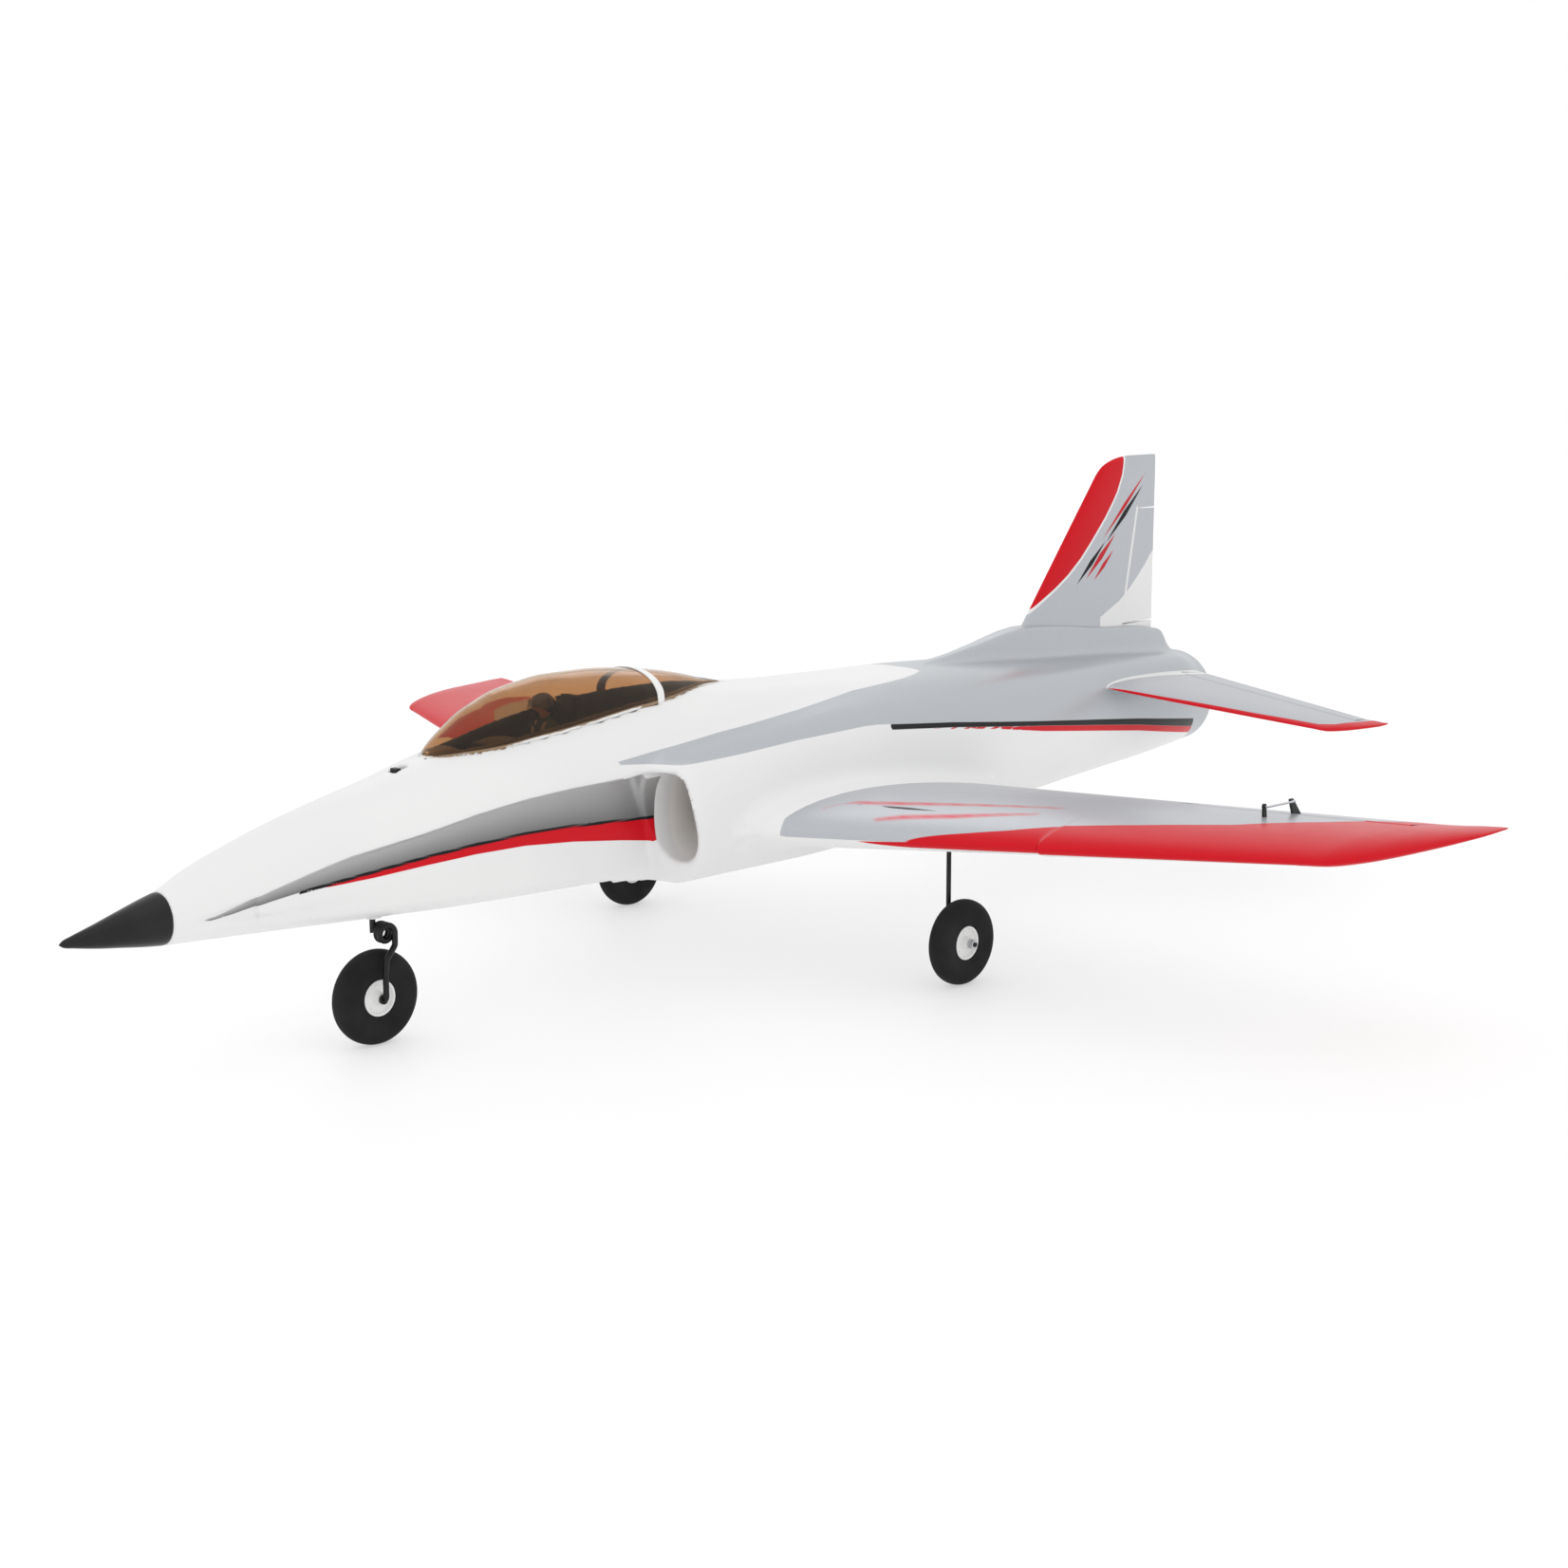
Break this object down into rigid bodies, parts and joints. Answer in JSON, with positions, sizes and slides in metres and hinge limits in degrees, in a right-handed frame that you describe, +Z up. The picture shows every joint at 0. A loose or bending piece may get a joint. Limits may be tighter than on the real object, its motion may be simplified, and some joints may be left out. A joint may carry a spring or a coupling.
{
  "type": "rc jet plane",
  "caption": "Radio-controlled ducted-fan jet with side inlets, cropped-delta wing, swept tail, tinted canopy hatch, tricycle wire gear and hinged control surfaces.",
  "frame": {"origin": "on the ground, under the middle of the bounding box, standing on its wheels", "axes": "+X forward to the nose, +Y to the left wing tip, +Z up"},
  "size_m": [1.097, 1.033, 0.3553],
  "materials": {
    "foam_silver": "satin metallic paint on moulded foam",
    "foam_white": "satin paint on moulded foam",
    "foam_red": "satin paint on moulded foam",
    "clear_canopy": "gloss, brown tint",
    "white_plastic": "satin",
    "pilot_paint": "matte",
    "black_plastic": "matte",
    "white_hub": "gloss",
    "tyre": "matte foam rubber",
    "black_wire": "black finish on spring steel",
    "steel": "bright",
    "motor_metal": "machined",
    "battery_wrap": "shrink film",
    "ply": "raw plywood",
    "tube_plastic": "matte"
  },
  "bodies": {
    "airframe": {"fuselage_front": "foam_white", "fuselage_upper": "foam_silver", "fuselage_lower": "foam_white", "fuselage_tail": "foam_silver", "nose_cone": "white_plastic", "spar_tubes": "tube_plastic", "wing_left": "foam_silver", "wing_right": "foam_silver", "stab_left": "foam_silver", "stab_right": "foam_silver", "fin": "foam_silver", "hinge_leaves": "black_plastic", "nose_gear_mount": "white_plastic", "control_servos": "black_plastic", "main_gear_wires": "black_wire", "main_gear_mounts": "white_plastic", "fan_housing": "black_plastic", "fan_motor": "motor_metal", "thrust_tube": "tube_plastic", "fan_access_cover": "foam_white", "battery_tray": "ply", "battery_pack": "battery_wrap", "esc_and_receiver": "black_plastic", "assembly_screws": "steel"},
    "hatch": {"hatch_base": "foam_white", "canopy_glass": "clear_canopy", "canopy_band": "white_plastic", "pilot_bust": "pilot_paint"},
    "latch": {"hatch_latch": "black_plastic"},
    "fan": {"fan_rotor": "black_plastic"},
    "nose_leg": {"nose_gear_strut": "black_wire"},
    "nose_wheel": {"nose_tyre": "tyre", "nose_hub": "white_hub"},
    "steering_arm_body": {"steering_servo_arm": "black_plastic"},
    "steering_rod_body": {"steering_pushrod": "steel"},
    "main_wheel_left": {"main_tyre_left": "tyre", "main_hub_left": "white_hub"},
    "main_wheel_right": {"main_tyre_right": "tyre", "main_hub_right": "white_hub"},
    "aileron_left_body": {"aileron_left": "foam_red", "aileron_left_horn": "black_plastic"},
    "aileron_left_arm_body": {"aileron_left_servo_arm": "black_plastic"},
    "aileron_left_rod_body": {"aileron_left_pushrod": "steel"},
    "elevator_left_body": {"elevator_left": "foam_silver", "elevator_left_torque_rod": "black_plastic"},
    "elevator_left_arm_body": {"elevator_left_servo_arm": "black_plastic"},
    "elevator_left_rod_body": {"elevator_left_pushrod": "steel"},
    "aileron_right_body": {"aileron_right": "foam_red", "aileron_right_horn": "black_plastic"},
    "aileron_right_arm_body": {"aileron_right_servo_arm": "black_plastic"},
    "aileron_right_rod_body": {"aileron_right_pushrod": "steel"},
    "elevator_right_body": {"elevator_right": "foam_silver", "elevator_right_torque_rod": "black_plastic"},
    "elevator_right_arm_body": {"elevator_right_servo_arm": "black_plastic"},
    "elevator_right_rod_body": {"elevator_right_pushrod": "steel"},
    "rudder_body": {"rudder": "foam_silver", "rudder_horn": "black_plastic"},
    "rudder_arm_body": {"rudder_servo_arm": "black_plastic"},
    "rudder_rod_body": {"rudder_pushrod": "steel"}
  },
  "joints": [
    {"name": "aileron_left_hinge", "type": "hinge", "parent": "airframe", "child": "aileron_left_body", "pos_m": [-0.14577, 0.38325, 0.13248], "axis": [-0.0826, 0.9953, 0.05], "range_deg": [-22, 22]},
    {"name": "aileron_left_servo", "type": "hinge", "parent": "airframe", "child": "aileron_left_arm_body", "pos_m": [-0.11369, 0.3823, 0.13303], "axis": [-0.0826, 0.9953, 0.05], "range_deg": [-22, 22]},
    {"name": "aileron_left_link", "type": "hinge", "parent": "aileron_left_arm_body", "child": "aileron_left_rod_body", "pos_m": [-0.11363, 0.38161, 0.14701], "axis": [-0.0826, 0.9953, 0.05], "range_deg": [-22, 22]},
    {"name": "aileron_right_hinge", "type": "hinge", "parent": "airframe", "child": "aileron_right_body", "pos_m": [-0.14577, -0.38325, 0.13248], "axis": [0.0826, 0.9953, -0.05], "range_deg": [-22, 22]},
    {"name": "aileron_right_servo", "type": "hinge", "parent": "airframe", "child": "aileron_right_arm_body", "pos_m": [-0.11369, -0.3823, 0.13303], "axis": [0.0826, 0.9953, -0.05], "range_deg": [-22, 22]},
    {"name": "aileron_right_link", "type": "hinge", "parent": "aileron_right_arm_body", "child": "aileron_right_rod_body", "pos_m": [-0.11363, -0.38161, 0.14701], "axis": [0.0826, 0.9953, -0.05], "range_deg": [-22, 22]},
    {"name": "elevator_left_hinge", "type": "hinge", "parent": "airframe", "child": "elevator_left_body", "pos_m": [-0.47854, 0.04826, 0.1701], "axis": [-0.1828, 0.9669, -0.1778], "range_deg": [-22, 22]},
    {"name": "elevator_left_servo", "type": "hinge", "parent": "airframe", "child": "elevator_left_arm_body", "pos_m": [-0.41854, 0.05126, 0.1706], "axis": [-0.1828, 0.9669, -0.1778], "range_deg": [-22, 22]},
    {"name": "elevator_left_link", "type": "hinge", "parent": "elevator_left_arm_body", "child": "elevator_left_rod_body", "pos_m": [-0.41802, 0.04855, 0.16094], "axis": [-0.1828, 0.9669, -0.1778], "range_deg": [-22, 22]},
    {"name": "elevator_right_hinge", "type": "hinge", "parent": "airframe", "child": "elevator_right_body", "pos_m": [-0.47854, -0.04826, 0.1701], "axis": [0.1828, 0.9669, 0.1778], "range_deg": [-22, 22]},
    {"name": "elevator_right_servo", "type": "hinge", "parent": "airframe", "child": "elevator_right_arm_body", "pos_m": [-0.41854, -0.05126, 0.1706], "axis": [0.1828, 0.9669, 0.1778], "range_deg": [-22, 22]},
    {"name": "elevator_right_link", "type": "hinge", "parent": "elevator_right_arm_body", "child": "elevator_right_rod_body", "pos_m": [-0.41802, -0.04855, 0.16094], "axis": [0.1828, 0.9669, 0.1778], "range_deg": [-22, 22]},
    {"name": "rudder_hinge", "type": "hinge", "parent": "airframe", "child": "rudder_body", "pos_m": [-0.46467, 0, 0.21707], "axis": [-0.2149, 0, 0.9766], "range_deg": [-25, 25]},
    {"name": "rudder_servo", "type": "hinge", "parent": "airframe", "child": "rudder_arm_body", "pos_m": [-0.40667, 0, 0.20807], "axis": [-0.2149, 0, 0.9766], "range_deg": [-25, 25]},
    {"name": "rudder_link", "type": "hinge", "parent": "rudder_arm_body", "child": "rudder_rod_body", "pos_m": [-0.40645, -0.012, 0.20709], "axis": [-0.2149, 0, 0.9766], "range_deg": [-25, 25]},
    {"name": "nose_steer", "type": "hinge", "parent": "airframe", "child": "nose_leg", "pos_m": [0.329, 0, 0.084], "axis": [0, 0, 1], "range_deg": [-25, 25]},
    {"name": "nose_wheel_spin", "type": "hinge", "parent": "nose_leg", "child": "nose_wheel", "pos_m": [0.329, 0, 0.0316], "axis": [0, 1, 0], "continuous": true},
    {"name": "steering_servo", "type": "hinge", "parent": "airframe", "child": "steering_arm_body", "pos_m": [0.289, 0, 0.1156], "axis": [0, 0, 1], "range_deg": [-25, 25]},
    {"name": "steering_link", "type": "hinge", "parent": "steering_arm_body", "child": "steering_rod_body", "pos_m": [0.289, -0.012, 0.1156], "axis": [0, 0, 1], "range_deg": [-25, 25]},
    {"name": "main_wheel_left_spin", "type": "hinge", "parent": "airframe", "child": "main_wheel_left", "pos_m": [-0.049, 0.1774, 0.0308], "axis": [0, 1, 0], "continuous": true},
    {"name": "main_wheel_right_spin", "type": "hinge", "parent": "airframe", "child": "main_wheel_right", "pos_m": [-0.049, -0.1774, 0.0308], "axis": [0, 1, 0], "continuous": true},
    {"name": "fan_spin", "type": "hinge", "parent": "airframe", "child": "fan", "pos_m": [-0.13, 0, 0.138], "axis": [1, 0, 0], "continuous": true},
    {"name": "hatch_hinge", "type": "hinge", "parent": "airframe", "child": "hatch", "pos_m": [0.0146, 0, 0.2062], "axis": [0, -1, 0], "range_deg": [0, 40]},
    {"name": "latch_slide", "type": "slide", "parent": "airframe", "child": "latch", "axis": [-1, 0, 0], "range_m": [0, 0.005]}
  ],
  "couplings": [
    {"joint": "aileron_left_servo", "follows": "aileron_left_hinge", "ratio": 1},
    {"joint": "aileron_left_link", "follows": "aileron_left_hinge", "ratio": -1},
    {"joint": "aileron_right_hinge", "follows": "aileron_left_hinge", "ratio": -1},
    {"joint": "aileron_right_servo", "follows": "aileron_left_hinge", "ratio": -1},
    {"joint": "aileron_right_link", "follows": "aileron_left_hinge", "ratio": 1},
    {"joint": "elevator_left_servo", "follows": "elevator_left_hinge", "ratio": 1},
    {"joint": "elevator_left_link", "follows": "elevator_left_hinge", "ratio": -1},
    {"joint": "elevator_right_hinge", "follows": "elevator_left_hinge", "ratio": 1},
    {"joint": "elevator_right_servo", "follows": "elevator_left_hinge", "ratio": 1},
    {"joint": "elevator_right_link", "follows": "elevator_left_hinge", "ratio": -1},
    {"joint": "rudder_servo", "follows": "rudder_hinge", "ratio": 1},
    {"joint": "rudder_link", "follows": "rudder_hinge", "ratio": -1},
    {"joint": "steering_servo", "follows": "nose_steer", "ratio": 1},
    {"joint": "steering_link", "follows": "nose_steer", "ratio": -1}
  ]
}
